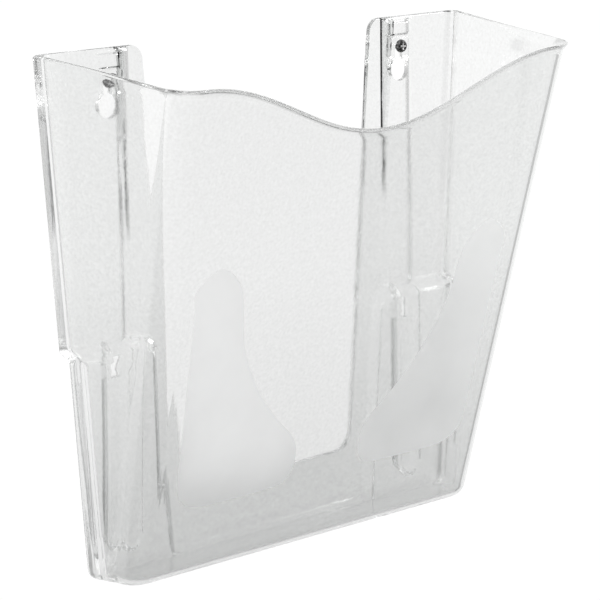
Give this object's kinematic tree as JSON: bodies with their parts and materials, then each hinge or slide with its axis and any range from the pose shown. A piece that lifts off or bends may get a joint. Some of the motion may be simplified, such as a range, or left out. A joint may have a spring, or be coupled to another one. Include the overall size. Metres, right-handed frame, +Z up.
{
  "type": "magazine_rack",
  "caption": "Clear plastic wall pocket for magazines and leaflets, with a leaning front wall, a wavy top edge and keyholes that hang on screws.",
  "frame": {"origin": "On the wall's surface, halfway between the axes of the two hanging screws.", "axes": "+X to the right seen from the front, +Y into the wall, +Z up. Metres."},
  "size_m": [0.24, 0.1135, 0.225],
  "materials": {
    "clear_plastic": "clear glossy polystyrene with two frosted patches low on the front wall",
    "screw_steel": "dark zinc-plated steel",
    "plug_nylon": "grey moulded nylon"
  },
  "bodies": {
    "wall_fixings": {"screw_left": "screw_steel", "screw_right": "screw_steel", "wall_plug_left": "plug_nylon", "wall_plug_right": "plug_nylon"},
    "pocket_body": {"pocket": "clear_plastic"}
  },
  "joints": [
    {"name": "lift_off", "type": "slide", "parent": "wall_fixings", "child": "pocket_body", "axis": [0, 0, 1], "range_m": [0, 0.0105]}
  ]
}
